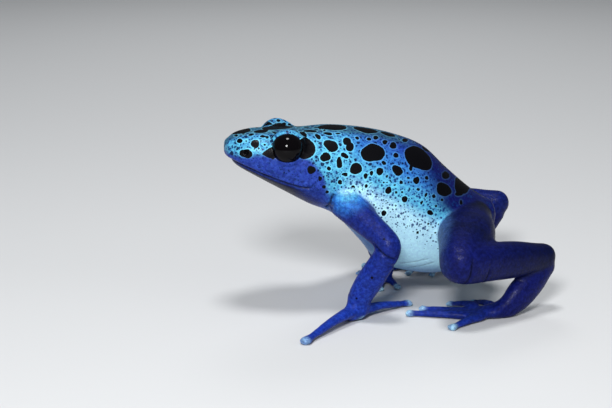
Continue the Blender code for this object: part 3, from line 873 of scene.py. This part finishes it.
def body_tone(points, turn, skin):
    """The ground colour of head and trunk: tones laid over one another, each let in by ramps.

    The ramps run over x and z, over the turn from the back in radians, over the heights above
    the lines of cheek and mouth, and over slopes, which are sums of z and x.
    """
    x, _, z = points.T
    low = np.abs(turn)
    slope = z + 0.55 * x
    tone = mixed(skin.pale, skin.cyan, ramp(slope, 13.6, 16.6))
    tone = mixed(tone, skin.azure, ramp(slope, 17.0, 20.0) * 0.85)
    tone = mixed(tone, skin.royal, ramp(slope, 20.0, 23.5))
    tone = mixed(tone, skin.violet, ramp(x + 0.35 * z, 8.0, 12.5) * ramp(slope, 15.5, 18.5))
    tone = mixed(tone, skin.cyan, ramp(x, -5.0, -9.0))
    # Painted shade: the lower belly is darker, toward azure
    belly = ramp(z, 6.6, 4.0) * ramp(x, -6, 0)
    tone = mixed(tone, skin.azure, belly * 0.6)
    chest = ramp(low, 1.65, 2.05) * ramp(x, -0.5, -4.0)
    tone = mixed(tone, mixed(skin.azure, skin.royal, ramp(x, -6.0, -9.0)), chest * 0.85)
    cheek = ramp(over_line(points, CHEEK_LINE), 0.45, -0.45) * ramp(x, -9.6, -11.2)
    tone = mixed(tone, skin.cheek, cheek)
    # Painted shade: the top of the head is darker, toward azure
    crown_shade = ramp(low, 0.75, 0.3) * ramp(x, -6.0, -9.0)
    tone = mixed(tone, skin.azure, crown_shade * 0.6)
    # Painted shade: the top of the back turns dull and dark
    ridge = ramp(low, 0.5, 0.28) * ramp(x, 4.0, 0.0)
    tone = mixed(tone, skin.teal, ridge * 0.8)
    gap, mouth = mouth_gap(points)
    # Painted shade on the lower jaw: violet, deeper underneath, and near-black under its front
    jaw = ramp(gap, 0.0, -0.5) * ramp(x, -10.5, -12.5)
    tone = mixed(tone, skin.violet, jaw * (0.35 + 0.5 * ramp(low, 1.9, 2.5)))
    under = jaw * ramp(x, -12.6, -15.6)
    tone = mixed(tone, skin.night, under * 0.85)
    # Painted shade along the mouth's line
    return mixed(tone, skin.night, mouth * np.exp(-(gap / 0.13) ** 2))


def skin_fields(points, stretches, skin):
    """Tone, spot distance, and strengths of fine dots and pale rings at points of the skin.

    The tones are the colours of the skin's settings.
    """
    _, turn, height = body_place(points)
    x, y, z = points.T
    weights = [np.exp(-np.maximum(height, 0) / BLEND_WIDTH)]
    tones = [body_tone(points, turn, skin)]
    nearest = np.full(len(points), 1e9)
    on_right = np.stack([x, np.abs(y), z], -1)
    patch = off_place(on_right, SHOULDER_PATCH)
    for kind, path, radii in stretches:
        distance, share = line_distance(points, path, radii)
        weights.append(np.exp(-np.maximum(distance, 0) / BLEND_WIDTH))
        first, last = LIMB_TONES[kind]
        tone = mixed(getattr(skin, first), getattr(skin, last), share)
        if kind == "upper_arm":
            tone = mixed(tone, skin.azure, ramp(patch, 3.9, 1.9))
            tone = mixed(tone, skin.cyan, ramp(patch, 2.2, 0.7) * 0.8)
            # Painted highlight: pale on the top of the shoulder patch
            tone = mixed(tone, skin.pale, ramp(patch, 1.9, 0.2) * ramp(z, 16.8, 17.8) * 0.9)
        # Painted sheen along the front and lower side of the thigh
        if kind == "thigh":
            ahead = np.interp(share, np.linspace(0, 1, len(path)), path[:, 0]) - x
            tone = mixed(tone, skin.sheen, ramp(ahead, 1.2, 3.3) * ramp(z, 16.0, 12.5) * 0.75)
        # Painted light: the far leg's thigh and shank are lightened toward the arm's blue
        if kind in ("thigh", "shank") and path[0, 1] > 0:
            tone = mixed(tone, skin.arm, 0.55)
        if kind in TIP_SHARES:
            tip = ramp(off_place(points, path[-1]), 1.4, 0.5)
            tone = mixed(tone, skin.pale, tip * TIP_SHARES[kind])
        if kind == "palm":
            pad = ramp(np.linalg.norm((points - PALM_PAD) * (1, 1, 2), axis=1), 1.4, 0.7)
            tone = mixed(tone, skin.pale, pad * 0.7)
        tones.append(tone)
        nearest = np.minimum(nearest, distance)
    weights = np.array(weights) + 1e-9
    tone = (weights[..., None] * np.array(tones)).sum(axis=0) / weights.sum(axis=0)[:, None]
    on_body = ramp(nearest - height, -0.2, 0.3)
    spot = spot_field(points, all_spots()) + (1 - on_body) * 9
    from_eye = off_place(on_right, mirrored(EYE_CENTRE))
    off_lid = ramp(from_eye, 2.7, 2.95) + ramp(np.abs(y), 3.6, 4.1)
    for patches, away in ((EYE_PATCHES, ramp(np.abs(y), 3.4, 2.6)), (LID_PATCHES, off_lid)):
        for along, up, half_length, half_height, taper in patches:
            u = (x - EYE_CENTRE[0] - along) / half_length
            v = (z - EYE_CENTRE[2] - up) / (half_height * (1 + taper * np.clip(u, -1, 1)))
            spot = np.minimum(spot, (np.hypot(u, v) - 1) * half_height + 2 * away)
    for place in ARM_SPOTS:
        spot = np.minimum(spot, off_place(points, place) - ARM_SPOT_RADIUS)
    cheek = ramp(over_line(points, CHEEK_LINE), 0.3, -0.8) * ramp(x, -9.6, -11.2)
    slope = z + 0.3 * x
    dots = ramp(slope, 6.8, 13.5) * ramp(np.abs(turn), 2.3, 1.7) * on_body * (1 - 0.3 * cheek)
    marks = np.maximum(ramp(x, -7.0, -10.0), 0.75 * ramp(slope, 15.0, 20.0))
    marks *= dots * (1 - 0.55 * cheek)
    mottle = np.maximum(1 - on_body, 0.8 * cheek)
    rings = on_body * (0.25 + 0.75 * ramp(x, 6.0, -8.0)) * (1 - cheek)
    rings *= ramp(slope, 9.0, 15.0)
    pale = on_body * ramp(slope, 17.0, 12.0) * ramp(x, -9.0, -6.0)
    # Painted shade in the folds: the deeper the fold, the darker its tone
    crease_shade = np.minimum(folds(points) / CREASE_DEPTH, 1)
    tone = mixed(tone, skin.night, crease_shade * 0.9)
    return {
        "tone": tone, "spot": spot, "dots": dots, "marks": marks, "rings": rings, "pale": pale,
        "mottle": mottle,
    }


class Nodes:
    """Short words for building a material's node tree."""

    def __init__(self, name):
        self.material = bpy.data.materials.new(name)
        self.material.use_nodes = True
        self.tree = self.material.node_tree
        self.shader = self.tree.nodes["Principled BSDF"]

    def set(self, node, values):
        for key, value in values.items():
            socket = node.inputs[key]
            if isinstance(value, bpy.types.NodeSocket):
                self.tree.links.new(value, socket)
            else:
                socket.default_value = value
        return node

    def add(self, kind, values=None, **settings):
        node = self.tree.nodes.new(kind)
        for key, value in settings.items():
            setattr(node, key, value)
        return self.set(node, values or {})

    def math(self, operation, first, second=0.0):
        return self.add("ShaderNodeMath", {0: first, 1: second}, operation=operation).outputs[0]

    def ramp(self, value, low, high, to_low=0.0, to_high=1.0):
        node = self.add("ShaderNodeMapRange", {
            "Value": value, "From Min": low, "From Max": high, "To Min": to_low, "To Max": to_high
        }, interpolation_type="SMOOTHSTEP")
        return node.outputs["Result"]

    def mix(self, share, first, second, blend="MIX"):
        node = self.add("ShaderNodeMix", data_type="RGBA", blend_type=blend)
        self.set(node, {0: share, 6: first, 7: second})
        return node.outputs[2]

    def attribute(self, name):
        return self.add("ShaderNodeAttribute", attribute_name=name)


def make_skin_material(spot_colour):
    """Blue skin: ground tone with fine grain, pale rings, small dots, then black spots."""
    nodes = Nodes("frog_skin")
    place = nodes.add("ShaderNodeTexCoord").outputs["Object"]
    tone = nodes.attribute("tone").outputs["Color"]
    spot, dots, marks, rings, pale, mottle = (
        nodes.attribute(name).outputs["Fac"]
        for name in ("spot", "dots", "marks", "rings", "pale", "mottle")
    )

    def noise(texture, detail=3.0, output="Fac"):
        values = {"Vector": place, "Scale": TEXTURES[texture], "Detail": detail, "Roughness": 0.6}
        return nodes.add("ShaderNodeTexNoise", values).outputs[output]

    def vector(operation, first, second):
        node = nodes.add("ShaderNodeVectorMath", {0: first, 1: second}, operation=operation)
        return node.outputs[0]

    shaken = vector("SUBTRACT", noise("shake", 2.0, "Color"), (0.5, 0.5, 0.5))
    shaken = vector("ADD", place, vector("MULTIPLY", shaken, [SHAKE] * 3))

    def cells(texture, least, most, soft, strength):
        """Dark cells: inside a radius that differs from cell to cell and grows with a strength."""
        values = {"Vector": shaken, "Scale": TEXTURES[texture]}
        found = nodes.add("ShaderNodeTexVoronoi", values, feature="F1")
        drawn = nodes.add("ShaderNodeSeparateColor", {0: found.outputs["Color"]}).outputs[0]
        radius = nodes.add("ShaderNodeMapRange", {
            "Value": drawn, "To Min": least, "To Max": most
        }).outputs["Result"]
        radius = nodes.math("MULTIPLY", radius, strength)
        return nodes.ramp(nodes.math("SUBTRACT", radius, found.outputs["Distance"]), -soft, soft)

    edge = nodes.math("ADD", spot, nodes.math("MULTIPLY", noise("edge"), 0.24))
    edge = nodes.math("SUBTRACT", edge, 0.12)
    grain = nodes.ramp(noise("grain", 4.0), 0.35, 0.65, 0.62, 1.25)
    ground = nodes.mix(1.0, tone, nodes.add("ShaderNodeCombineColor", {
        0: grain, 1: grain, 2: nodes.ramp(noise("grain", 4.0), 0.3, 0.7, 0.75, 1.15),
    }).outputs[0], "MULTIPLY")
    ground = nodes.mix(nodes.math("MULTIPLY", pale, 0.75), ground, tone)
    blotch = nodes.ramp(noise("blotch", 4.0), 0.36, 0.64, 0.76, 1.24)
    blotch = nodes.add("ShaderNodeCombineColor", {0: blotch, 1: blotch, 2: blotch}).outputs[0]
    ground = nodes.mix(mottle, ground, blotch, "MULTIPLY")
    near = nodes.math("MULTIPLY", nodes.ramp(edge, 0.24, 0.06), rings)
    bright = nodes.mix(1.0, tone, RING_GAIN, "MULTIPLY")
    bright = nodes.mix(0.22, bright, RING_COLOUR)
    colour = nodes.mix(nodes.math("MULTIPLY", near, 0.9), ground, bright)
    clear = nodes.ramp(edge, 0.06, 0.2)
    smaller = nodes.math("MULTIPLY", cells("dots", 0.16, 0.52, 0.07, dots), clear)
    bigger = nodes.math("MULTIPLY", cells("marks", -0.1, 0.56, 0.05, marks), clear)
    colour = nodes.mix(nodes.math("MULTIPLY", smaller, 0.9), colour, DOT_COLOUR)
    colour = nodes.mix(nodes.math("MULTIPLY", bigger, 0.94), colour, MARK_COLOUR)
    colour = nodes.mix(nodes.ramp(edge, 0.03, -0.03), colour, (*spot_colour, 1))
    pebbles = nodes.add("ShaderNodeTexVoronoi", feature="SMOOTH_F1", values={
        "Vector": place, "Scale": TEXTURES["pebbles"], "Smoothness": 0.6
    })
    height = nodes.math("MULTIPLY", pebbles.outputs["Distance"], -0.7)
    height = nodes.math("ADD", height, noise("wrinkles"))
    height = nodes.math("MULTIPLY", height, nodes.ramp(mottle, 0.0, 1.0, 1.0, 1.6))
    height = nodes.math("MULTIPLY", height, nodes.ramp(edge, -0.05, 0.1, 0.4, 1.0))
    bump, film = (
        nodes.add("ShaderNodeBump", {
            "Strength": strength, "Distance": GRAIN_DEPTH, "Height": height
        })
        for strength in (GRAIN_STRENGTH, FILM_STRENGTH)
    )
    nodes.set(nodes.shader, {
        "Base Color": colour, "Roughness": nodes.ramp(edge, -0.05, 0.05, 0.5, 0.4),
        "Specular IOR Level": 0.07, "Normal": bump.outputs["Normal"],
        "Coat Weight": 0.055, "Coat Roughness": 0.16, "Coat Normal": film.outputs["Normal"],
    })
    return nodes.material


def make_eye_material(colour):
    """Black gloss."""
    nodes = Nodes("eye_black_gloss")
    nodes.set(nodes.shader, {
        "Base Color": (*colour, 1), "Roughness": 0.06, "Specular IOR Level": 0.12,
    })
    return nodes.material


def finished(name, points, faces, replaced, fields=None):
    """The object of a piece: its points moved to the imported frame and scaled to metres."""
    mesh = bpy.data.meshes.new(name)
    mesh.from_pydata(((points - ORIGIN) * MM).tolist(), [], faces)
    mesh.update()
    mesh.shade_smooth()
    for field, values in (fields or {}).items():
        values = values.astype(np.float32)
        if values.ndim == 2:
            whole = np.column_stack([values, np.ones(len(values), np.float32)])
            layer = mesh.attributes.new(field, "FLOAT_COLOR", "POINT")
            layer.data.foreach_set("color", whole.ravel())
        else:
            mesh.attributes.new(field, "FLOAT", "POINT").data.foreach_set("value", values)
    piece = bpy.data.objects.new(name, mesh)
    bpy.context.scene.collection.objects.link(piece)
    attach(piece, "root")
    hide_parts(*replaced)
    return piece


def junction_share(points, stretches):
    """1 where two forms meet, falling to 0 at 1.5 mm from the second nearest form."""
    _, _, height = body_place(points)
    distances = [height] + [line_distance(points, path, radii)[0] for _, path, radii in stretches]
    second = np.partition(np.array(distances), 1, axis=0)[1]
    return ramp(second, 1.5, 0.2)


def mouth_gap(points):
    """Height over the line between the lips, and how much of the mouth is there."""
    gap = over_line(points, MOUTH_LINE)
    return gap, ramp(points[:, 0], MOUTH_CORNER + 0.3, MOUTH_CORNER - 0.7)


def folds(points):
    """Depth of the folds of the skin: bell curves round planes across the limbs and along lines.

    A fold across a limb is kept to one side of it and to points near its joint.
    """
    depth = np.zeros(len(points))
    for side, turned in SIDES:
        for start, end, distance, facing, deep, wide, most in FOLDS:
            joint = np.array(JOINTS[side][start])
            along = unit(np.array(JOINTS[side][end]) - joint)
            offset = points - joint - along * distance
            reach = offset @ along
            off_axis = offset - reach[:, None] * along
            span = np.linalg.norm(off_axis, axis=1)
            share = ramp(off_axis @ unit(turned(facing)) / (span + 1e-6), -0.1, 0.6)
            share = share * ramp(span, most + 0.2, most - 0.2)
            depth += deep * np.exp(-(reach / wide) ** 2) * share
    for line, deep, wide in SKIN_LINES:
        curve = smooth_rows(line, np.linspace(0, len(line) - 1, 4 * len(line)))
        away, share = line_distance(points[:, ::2], curve, [0, 0])
        ends = ramp(share, 0, 0.15) * ramp(share, 1, 0.85) * ramp(np.abs(points[:, 1]), 3.2, 3.8)
        depth += deep * np.exp(-(away / wide) ** 2) * ends
    return depth


def eye_arcs(points, centre, look, eye):
    """Distance from an eye's centre, and the arc from its opening's rim, outward above 0.

    The opening's half angle is least below, where the lower lid is drawn up, less above, and
    most ahead and behind: 1 plus 0.07 times the level share squared, less 0.13 times the upward
    or 0.2 times the downward share squared.
    """
    offset = points - centre
    reach = np.linalg.norm(offset, axis=1)
    angle = np.arccos(np.clip(offset @ look / reach, -1, 1))
    aside = unit(offset - (offset @ look)[:, None] * look)
    level, upward = aside[:, 0], aside[:, 2]
    drawn = np.where(upward > 0, 0.13, 0.2) * upward**2
    opening = eye.opening * (1 + 0.07 * level**2 - drawn)
    return reach, angle, (angle - opening) * eye.radius, opening, aside


def lidded(points, edges, centre, look, eye):
    """Shapes the skin round an eye: drawn in under the eyeball, a round lid, then the head.

    A point keeps its direction from the eye's centre. Its distance follows the lid's profile
    over the arc from the opening's rim: a slope down into the socket inside it, a quarter wave
    over the lid outside it, and the head's own distance from one and a half millimetres on, or
    where the point is that far from the eyeball. The skin beyond the lid is evened out.
    """
    reach, angle, from_rim, _, aside = eye_arcs(points, centre, look, eye)
    near = (reach < eye.radius + 1.6) & (from_rim < 1.5)
    apart = ramp(reach, eye.radius + 0.55, eye.radius + 1.5)
    lid = eye.radius + RIM_LIFT + LID_ROUND * np.sin(np.clip(from_rim / 0.5, 0, 1) * math.pi / 2)
    lid -= (RIM_LIFT + SOCKET_DEPTH) * np.clip(-from_rim / RIM_WIDTH, 0, 1)
    depth = lid + (reach - lid) * np.maximum(ramp(from_rim, 0.3, 1.5), apart)
    placed = look * np.cos(angle)[:, None] + aside * np.sin(angle)[:, None]
    points = np.where(near[:, None], centre + placed * depth[:, None], points)
    beyond = np.maximum(ramp(from_rim, 0.35, 0.8), apart)
    beyond *= ramp(reach, eye.radius + 2.6, eye.radius + 1.6)
    return relaxed(points, edges, [SETTLE] * 9, beyond)


def with_face(points, edges, triangles, eye):
    """Raises and sinks the skin: lips, mouth line, nostrils, ears, folds and eye sockets.

    Every form is a bell curve of a distance, added along the normals.
    """
    normal = normals_of(points, triangles)
    gap, share = mouth_gap(points)
    move = bells(gap, LIP_RELIEF) * share - folds(points)
    for _, turned in SIDES:
        move += bells(off_place(points, turned(NOSTRIL)), NOSTRIL_RELIEF)
        off = off_place(points, turned(EAR))
        move += bells(off, EAR_RELIEF) - EAR_DEPTH * ramp(off, 0.9, 0.5)
    points = points + normal * move[:, None]
    for _, turned in SIDES:
        centre, look = np.array(turned(EYE_CENTRE)), unit(turned(EYE_LOOK))
        points = lidded(points, edges, centre, look, eye)
    return points


def face_zone(points):
    """Points that need a finer mesh: the eyes, nostrils, ears, mouth and folds."""
    gap, share = mouth_gap(points)
    zone = (np.abs(gap) < 0.6) & (share > 0) | (folds(points) > 0.03)
    for _, turned in SIDES:
        for place, reach in ((EYE_CENTRE, 3.3), (NOSTRIL, 0.9), (EAR, 1.4)):
            zone |= off_place(points, turned(place)) < reach
    return zone


def lid_zone(points, eye):
    """Points by the rims of the eyes' openings."""
    zone = np.zeros(len(points), bool)
    for _, turned in SIDES:
        centre, look = np.array(turned(EYE_CENTRE)), unit(turned(EYE_LOOK))
        reach, _, from_rim, _, _ = eye_arcs(points, centre, look, eye)
        zone |= (reach < eye.radius + 1.5) & (np.abs(from_rim) < 0.6)
    return zone


def colour_setting(name, description, default):
    """A colour of the settings."""
    return FloatVectorProperty(
        name=name, description=description, default=default, subtype="COLOR", min=0, max=1
    )


class FrogSkinSettings(bpy.types.PropertyGroup):
    cell: FloatProperty(name="Cell", description="Side of the mesh's cells in mm", default=0.27)
    __annotations__.update({
        name: colour_setting(name.title(), use, tone) for name, (use, tone) in TONES.items()
    })


class FrogEyeSettings(bpy.types.PropertyGroup):
    radius: FloatProperty(name="Radius", description="Radius of the eyeball in mm", default=2.2)
    opening: FloatProperty(
        name="Opening", description="Half angle of the gap between the lids",
        default=math.radians(76), subtype="ANGLE",
    )
    colour: colour_setting("Colour", "Colour of the eyeball", (0.002, 0.0015, 0.002))


class FrogStageSettings(bpy.types.PropertyGroup):
    azimuth: FloatProperty(
        name="Azimuth", description="Camera's turn round the frog from its left side",
        default=math.radians(-12), subtype="ANGLE",
    )
    elevation: FloatProperty(
        name="Elevation", description="Camera's angle over the floor",
        default=math.radians(14), subtype="ANGLE",
    )
    scale: FloatProperty(
        name="Scale", description="Pixels for a millimetre at the frog", default=7.0
    )
    floor: colour_setting("Floor", "Colour of the floor", (0.62, 0.63, 0.64))


class FROG_OT_skin(bpy.types.Operator):
    """Adds the skin of head, trunk, arms, legs and digits as one piece"""

    bl_idname = "frog.skin"
    bl_label = "Skin"

    def execute(self, context):
        settings = context.scene.frog_skin
        eye = context.scene.frog_eye
        limbs, stretches = limb_forms()
        lids = [
            ball_form(turned(EYE_CENTRE), (eye.radius + LID_THICKNESS) * np.array(LID_DOME[side]))
            for side, turned in SIDES
        ]
        forms = joined([body_form(), *lids, *limbs])
        points, edges, triangles, faces = fused(*forms, settings.cell)
        points = relaxed(points, edges, [SETTLE, UNSETTLE] * 6 + [SETTLE] * 2)
        # The skin is evened out where forms meet and behind the eyes, but less at the heels
        meeting = junction_share(points, stretches)
        for joints in JOINTS.values():
            meeting *= 1 - HEEL_KEPT * ramp(off_place(points, joints["heel"]), 5.0, 3.5)
        for _, turned in SIDES:
            from_eye = off_place(points, turned(EYE_CENTRE))
            meeting = np.maximum(meeting, np.exp(-((from_eye - 3.5) / 0.5) ** 2))
        points = relaxed(points, edges, [SETTLE] * 16, meeting)
        points, edges, triangles, faces = refined(points, faces, face_zone(points))
        points, edges, triangles, faces = refined(points, faces, lid_zone(points, eye))
        fine = face_zone(points)
        points = relaxed(points, edges, [SETTLE] * 2, fine)
        points = with_face(points, edges, triangles, eye)
        points[:, 2] = np.maximum(points[:, 2], 0)
        replaced = [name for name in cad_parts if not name.startswith("eye_")]
        fields = skin_fields(points, stretches, settings)
        skin = finished("skin", points, faces, replaced, fields)
        skin.data.materials.append(make_skin_material(settings.spot))
        return {"FINISHED"}


class FROG_OT_eyes(bpy.types.Operator):
    """Adds the two eyeballs"""

    bl_idname = "frog.eyes"
    bl_label = "Eyes"

    def execute(self, context):
        settings = context.scene.frog_eye
        gloss = make_eye_material(settings.colour)
        for side, turned in SIDES:
            radii = np.full(3, settings.radius)
            points, quads, fans = ball_form(turned(EYE_CENTRE), radii, 60, 96)
            piece = finished(
                f"eyeball_{side}", points, quads.tolist() + fans.tolist(), [f"eye_{side}"]
            )
            piece.data.materials.append(gloss)
        return {"FINISHED"}


class FROG_OT_stage(bpy.types.Operator):
    """Adds the floor, the lights and the camera"""

    bl_idname = "frog.stage"
    bl_label = "Stage"

    def execute(self, context):
        settings = context.scene.frog_stage
        collection = context.scene.collection
        mesh = bpy.data.meshes.new("floor")
        half = FLOOR_HALF
        corners = [(-half, -half, 0), (half, -half, 0), (half, half, 0), (-half, half, 0)]
        mesh.from_pydata(corners, [], [(0, 1, 2, 3)])
        floor = bpy.data.objects.new("floor", mesh)
        collection.objects.link(floor)
        nodes = Nodes("pale_floor")
        nodes.set(nodes.shader, {"Base Color": (*settings.floor, 1), "Roughness": 0.8})
        mesh.materials.append(nodes.material)

        world = bpy.data.worlds.new("studio")
        context.scene.world = world
        context.scene.view_settings.view_transform = "Standard"
        world.use_nodes = True
        sky = world.node_tree.nodes["Background"]
        sky.inputs["Color"].default_value = SKY_COLOUR
        sky.inputs["Strength"].default_value = SKY_STRENGTH

        for name, (place, size, power, shines) in LIGHTS.items():
            data = bpy.data.lights.new(name, "AREA")
            data.shape = "DISK"
            data.size = size
            data.energy = power
            light = bpy.data.objects.new(name, data)
            light.location = place
            light.visible_glossy = shines
            light.rotation_mode = "QUATERNION"
            beam = Vector(LIGHT_AIM) - Vector(place)
            light.rotation_quaternion = beam.to_track_quat("-Z", "Y")
            collection.objects.link(light)

        azimuth, elevation = settings.azimuth, settings.elevation
        back = np.array((
            math.sin(azimuth) * math.cos(elevation), -math.cos(azimuth) * math.cos(elevation),
            math.sin(elevation),
        ))
        right = unit(np.cross(-back, UP))
        over = np.cross(right, -back)
        distance = LENS / SENSOR * PICTURE[0] / settings.scale
        aside, below = (
            (pixel - length / 2) / settings.scale for pixel, length in zip(TARGET_PIXEL, PICTURE)
        )
        place = np.array(TARGET) + back * distance - right * aside + over * below
        data = bpy.data.cameras.new("camera")
        data.lens = LENS
        data.sensor_width = SENSOR
        data.clip_start = 0.01
        camera = bpy.data.objects.new("camera", data)
        basis = Matrix(np.column_stack([right, over, back]).tolist()).to_4x4()
        camera.matrix_world = Matrix.Translation(Vector((place - ORIGIN) * MM)) @ basis
        collection.objects.link(camera)
        context.scene.camera = camera
        return {"FINISHED"}


class FROG_PT_panel(bpy.types.Panel):
    bl_label = "Frog"
    bl_idname = "FROG_PT_panel"
    bl_space_type = "VIEW_3D"
    bl_region_type = "UI"
    bl_category = "Frog"

    def draw(self, context):
        for operator in (FROG_OT_skin, FROG_OT_eyes, FROG_OT_stage):
            self.layout.operator(operator.bl_idname)


SETTINGS = {
    "frog_skin": FrogSkinSettings, "frog_eye": FrogEyeSettings, "frog_stage": FrogStageSettings
}
CLASSES = (*SETTINGS.values(), FROG_OT_skin, FROG_OT_eyes, FROG_OT_stage, FROG_PT_panel)


def register():
    for item in CLASSES:
        bpy.utils.register_class(item)
    for name, group in SETTINGS.items():
        setattr(bpy.types.Scene, name, PointerProperty(type=group))


def unregister():
    for name in SETTINGS:
        delattr(bpy.types.Scene, name)
    for item in reversed(CLASSES):
        bpy.utils.unregister_class(item)


def main():
    register()
    bpy.ops.frog.skin()
    bpy.ops.frog.eyes()
    bpy.ops.frog.stage()


if __name__ == "__main__":
    main()
